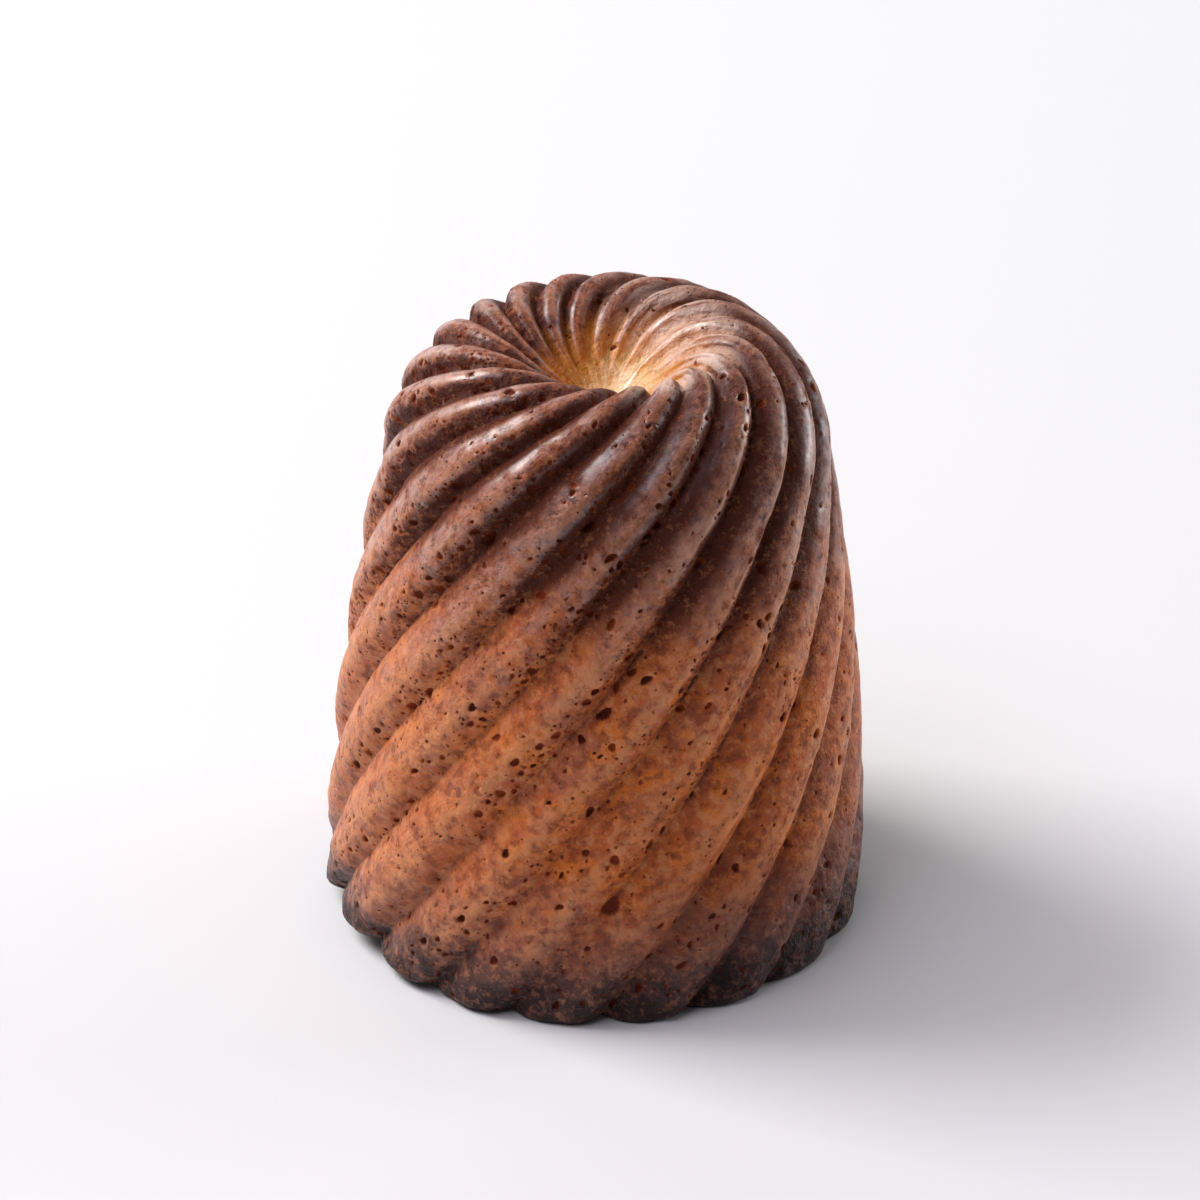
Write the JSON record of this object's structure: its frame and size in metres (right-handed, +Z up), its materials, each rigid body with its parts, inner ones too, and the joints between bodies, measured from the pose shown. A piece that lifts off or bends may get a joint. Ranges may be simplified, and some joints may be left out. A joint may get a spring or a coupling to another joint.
{
  "type": "canele",
  "caption": "Small fluted baked cake with twisted ridges, a dark caramelised crust and a dimple in its top, standing on its flat foot.",
  "frame": {"origin": "centre of the bounding box's bottom, on the plane that the flat foot rests on", "axes": "+Z up, from the foot to the dimple; -Y towards the side that was seen; the top stands off the foot a little towards +X"},
  "size_m": [0.0464, 0.0462, 0.0534],
  "materials": {
    "crust": "waxy caramelised crust, full of small pores"
  },
  "bodies": {
    "root": {"canele": "crust"}
  },
  "joints": []
}
